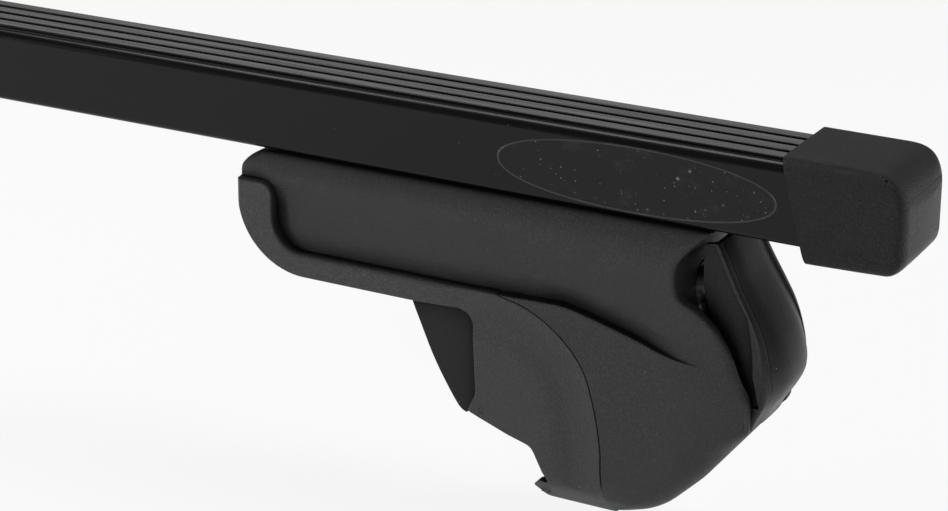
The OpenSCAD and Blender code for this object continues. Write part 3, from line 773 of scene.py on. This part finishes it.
def cap_skin():
    """End cap with every edge rounded."""
    side = outline_field(rounded([(92, CAP_LOW, 1.5), (124.8, CAP_LOW + 1.5, 6),
                                  (123.7, CAP_HIGH - 0.3, 11.5), (83, CAP_HIGH)]))
    section = outline_field(rounded([(-CAP_HALF, CAP_LOW, 4.5), (CAP_HALF, CAP_LOW, 4.5),
                                     (CAP_HALF, CAP_HIGH, 4.5), (-CAP_HALF, CAP_HIGH, 4.5)]))
    plan = outline_field(rounded([(83, -CAP_HALF), (124.1, -CAP_HALF + 0.5, 6), (125.7, 0, 60),
                                  (124.1, CAP_HALF - 0.5, 6), (83, CAP_HALF)]))

    def field(p):
        f = soft_max(side(p[:, [0, 2]]), section(p[:, [1, 2]]), 1.0)
        return soft_max(f, plan(p[:, [0, 1]]), 2.6) + 0.03
    skin = star_skin(field, (106, 0, RISE + 10.5), (21, 18.5, 15.5), 46)
    shaped("cap_shell", "end_cap", skin, "cap_plastic", body="crossbar", angle=38, fill=CAP_FILL)


# end cover

HINGE = (79.8, RISE - 55.8)
COVER_EDGE = curve([(LEG - 12, TOP - 3), (LEG - 9.3, TOP - 8.1), (LEG - 6, TOP - 14.3),
                    (LEG - 2, TOP - 20.6), (LEG + 2.2, TOP - 26.6), (LEG + 5.8, TOP - 32.6),
                    (LEG + 8, TOP - 38.8), (LEG + 8.2, TOP - 44), (LEG + 6, TOP - 48.8),
                    (LEG + 3.4, TOP - 52.6), (HINGE[0] + 4.4, HINGE[1]),
                    (HINGE[0] + 3.2, HINGE[1] - 2.7)], 5)
COVER_HALF = 17
BEAD_AT = 3.0
BESIDE_EDGE = (0, 0.08, 0.2, 0.4, 0.65, 0.95, 1.3, 1.7, 2.1, 2.5, 2.75, 2.95, 3.15, 3.4, 3.7,
               4.2, 5, 6.2, 7.8, 9.6, 11.5, 13.4)
COVER_COLUMNS = ([(-1, w) for w in BESIDE_EDGE] + [(0, 0)] + [(1, w) for w in BESIDE_EDGE[::-1]])


def cover_depth(fall, half, beside):
    """How far the cover's face lies under its edge line, at a distance beside the edge."""
    dish = 0.45 * float(step(beside, 2.5, 3.4)) * (1 - float(step(beside, 3.4, 9)))
    crown = fall * ((half - beside) / half) ** 2.3
    groove = 0.3 * math.exp(-((beside - BEAD_AT) / 0.3) ** 2)
    return 0.14 + crown + dish + float(roll(np.array(beside), 1.1)) + groove


def cover_rows():
    """Rows of points over the crowned face, from the top of the cover down to its knuckle."""
    edge = np.array(dense(COVER_EDGE, 0.7, closed=False))
    out = left_of(np.gradient(edge, axis=0))
    if out[:, 0].mean() < 0:
        out = -out
    past = np.linalg.norm(edge - np.array([LEG - 69, TOP - 46.8]), axis=1) - 72.8
    fall = 0.5 + 1.4 * np.log1p(np.exp(past / 1.4))
    high = 2.6 * np.clip((edge[:, 1] - 47) / 41.6, 0, 1) ** 1.15
    low = 1.9 * np.clip((50 - edge[:, 1]) / 11.4, 0, 1) ** 1.3
    rows = []
    for (x, z), n, f, h in zip(edge, out, fall, COVER_HALF - 0.05 - high - low):
        row = []
        for side, w in COVER_COLUMNS:
            y = side * max(0.0, h - w * h / COVER_HALF)
            d = cover_depth(f, h, h - abs(y))
            row.append((x - d * n[0], y, z - d * n[1]))
        rows.append(row)
    return rows


def cover_skin():
    """Crowned outer face with a bead down each edge, over the cheeks and knuckle of the solid."""
    rows = cover_rows()
    k = len(COVER_COLUMNS)
    behind = [(HINGE[0] - 5.5, HINGE[1] - 5.5), (60.5, HINGE[1] + 20), (60.5, TOP + 1)]
    for x, z in behind:
        rows.append([(x, side * (COVER_HALF - w), z) for side, w in COVER_COLUMNS])
    n = len(rows)
    faces = []
    for i in range(n):
        a, b = i * k, (i + 1) % n * k
        faces += [(a + j, a + j + 1, b + j + 1, b + j) for j in range(k - 1)]
    faces.append(tuple(i * k for i in range(n)))
    faces.append(tuple(i * k + k - 1 for i in range(n))[::-1])
    verts = [tuple(c * MM for c in v) for row in rows for v in row]
    shaped("cover_shell", "end_cover", (verts, faces), "cover_plastic", body="end_cover", angle=30)


# housing and rail shoe

CREASE_ROWS = (-2.4, -1.6, -1.0, -0.6, -0.3, -0.14, 0.14, 0.5, 1.0, 1.7, 2.6)


def foot_skins():
    """Housing and rail shoe with their soft sides. The crease gets its own rows of points."""
    crease = dense(PROUD, 0.8, closed=False)
    housing = Piece(False).mesh(housing_radius, housing_half, extra=[(crease, CREASE_ROWS)])
    shaped("housing_shell", "housing", housing, "housing_plastic")
    shoe = Piece(True).mesh(shoe_radius, shoe_half)
    shaped("shoe_shell", "rail_shoe", shoe, "shoe_plastic")


# film

FILM_AT = (43.5, 100.1)
FILM_HALF = (43.3, 9.9)
FILM_POINTS = 96
# Share of the oval and place in Y of each ring, from its rim over the raised edge inwards.
FILM_RINGS = ((1.0, -16.0), (1.0, -16.045), (0.994, -16.07), (0.985, -16.045), (0.5, -16.045))
EDGE_RINGS = 3


def film_skin():
    """Rings of points over the oval, and a fan of triangles in the middle."""
    n = FILM_POINTS
    verts = []
    for share, y in FILM_RINGS:
        share_z = share if share < 0.9 else 1 - (1 - share) * 4
        for i in range(n):
            c, q = math.cos(2 * math.pi * i / n), math.sin(2 * math.pi * i / n)
            x = FILM_AT[0] + FILM_HALF[0] * math.copysign(abs(c) ** 0.96, c) * share
            z = FILM_AT[1] + FILM_HALF[1] * math.copysign(abs(q) ** 0.92, q) * share_z
            verts.append((x * MM, y * MM, z * MM))
    verts.append((FILM_AT[0] * MM, FILM_RINGS[-1][1] * MM, FILM_AT[1] * MM))
    last = len(FILM_RINGS) - 1
    faces = []
    for r in range(last):
        for i in range(n):
            j = (i + 1) % n
            faces.append((r * n + i, r * n + j, (r + 1) * n + j, (r + 1) * n + i))
    faces += [(last * n + i, last * n + (i + 1) % n, len(verts) - 1) for i in range(n)]
    return verts, faces


def film():
    """Bare oval of clear film on the side of the crossbar, with a fine raised edge."""
    ob = new_mesh("film", *film_skin(), film_material())
    # The rings of the raised edge take the edge material with its painted highlight.
    ob.data.materials.append(film_edge_material())
    for face in ob.data.polygons[:EDGE_RINGS * FILM_POINTS]:
        face.material_index = 1
    turn_outwards(ob.data)
    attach(ob, "crossbar")


# floor, light and camera

FLOOR_HALF, FLOOR_Z = 3.0, -0.016
GLOW_SHARE = 0.86


def floor_material():
    """Pale floor that also glows for the camera and in reflections, so that it looks white."""
    s = Shader("studio_floor")
    s.bsdf.inputs["Roughness"].default_value = 0.9
    cloud = s.noise(3, 2, 0.5)
    s.link(s.mix(cloud, (0.84, 0.84, 0.84), (0.88, 0.88, 0.88)), s.bsdf.inputs["Base Color"])
    path = s.node("ShaderNodeLightPath")
    glow = s.node("ShaderNodeEmission")
    glow.inputs["Color"].default_value = (1, 1, 1, 1)
    glow.inputs["Strength"].default_value = 1.0
    seen = path.outputs["Is Camera Ray"]
    for ray in ("Is Glossy Ray", "Is Transmission Ray"):
        either = s.node("ShaderNodeMath", operation="MAXIMUM")
        s.link(seen, either.inputs[0])
        s.link(path.outputs[ray], either.inputs[1])
        seen = either.outputs[0]
    share = s.node("ShaderNodeMath", operation="MULTIPLY")
    share.inputs[1].default_value = GLOW_SHARE
    s.link(seen, share.inputs[0])
    mix = s.node("ShaderNodeMixShader")
    s.link(share.outputs[0], mix.inputs[0])
    s.link(s.bsdf.outputs[0], mix.inputs[1])
    s.link(glow.outputs[0], mix.inputs[2])
    s.link(mix.outputs[0], s.tree.nodes["Material Output"].inputs["Surface"])
    return s.mat


def backdrop():
    """Wide floor just under the foot."""
    corners = [(x * FLOOR_HALF, y * FLOOR_HALF, FLOOR_Z)
               for x, y in ((-1, -1), (1, -1), (1, 1), (-1, 1))]
    floor = new_mesh("floor", corners, [(0, 1, 2, 3)], floor_material(), smooth=False)


AMBIENT = 0.14


def world():
    """Weak even light from all round."""
    w = bpy.data.worlds.new("studio")
    SCENE.world = w
    w.use_nodes = True
    t = w.node_tree
    bg = t.nodes["Background"]
    bg.inputs["Color"].default_value = (1, 1, 1, 1)
    bg.inputs["Strength"].default_value = AMBIENT


def area(name, at, size, power, aim=(0.0, 0.0, 0.06)):
    """Area light of a size in metres and a power in watts, turned to a point."""
    light = bpy.data.lights.new(name, "AREA")
    light.shape = "RECTANGLE"
    light.size, light.size_y = size
    light.energy = power
    ob = bpy.data.objects.new(name, light)
    SCENE.collection.objects.link(ob)
    ob.location = at
    ob.rotation_mode = "QUATERNION"
    ob.rotation_quaternion = (Vector(aim) - Vector(at)).to_track_quat("-Z", "Y")


def lights():
    """A long light overhead, weak ones in front and behind, and a small one to either side."""
    area("top", (-0.15, 0.3, 1.0), (1.4, 0.3), 7)
    area("front", (0.1, -1.1, 0.1), (0.8, 0.2), 0.4)
    area("left", (-0.84, -0.46, 0.2), (0.25, 0.25), 4.1, aim=(0.03, 0, 0.0))
    area("right", (0.42, -0.6, 0.24), (0.1, 0.1), 1.8, aim=(0.06, 0, 0.04))
    area("back", (-0.62, 1.1, 0.5), (1.3, 0.16), 0.7)


# The camera as fitted to the photo: angles in degrees, lengths in metres, the lens in pixels.
CAMERA_ANGLES = (27.87, 20.51, 0.80)
CAMERA_AIM, CAMERA_AWAY = (-0.0153, 0, 0.0613), 0.761
LENS_PIXELS, PHOTO_WIDTH = 2518, 948
SENSOR = 36


def camera():
    """Camera at the photo's place, which looks at its aim from so far away."""
    az, el, tilt = (math.radians(a) for a in CAMERA_ANGLES)
    back = Vector((math.sin(az) * math.cos(el), -math.cos(az) * math.cos(el), math.sin(el)))
    side = Vector((math.cos(az), math.sin(az), 0))
    up = back.cross(side)
    right = side * math.cos(tilt) + up * math.sin(tilt)
    top = -side * math.sin(tilt) + up * math.cos(tilt)
    cam = bpy.data.cameras.new("camera")
    cam.sensor_width = SENSOR
    cam.lens = LENS_PIXELS / PHOTO_WIDTH * SENSOR
    cam.clip_start, cam.clip_end = 0.01, 20
    ob = bpy.data.objects.new("camera", cam)
    SCENE.collection.objects.link(ob)
    place = Matrix((right, top, back)).transposed().to_4x4()
    place.translation = Vector(CAMERA_AIM) + back * CAMERA_AWAY
    ob.matrix_world = place
    SCENE.camera = ob


dress_nodes()
foot_skins()
cap_skin()
cover_skin()
film()
backdrop()
world()
lights()
camera()
SCENE.view_settings.view_transform = "Standard"
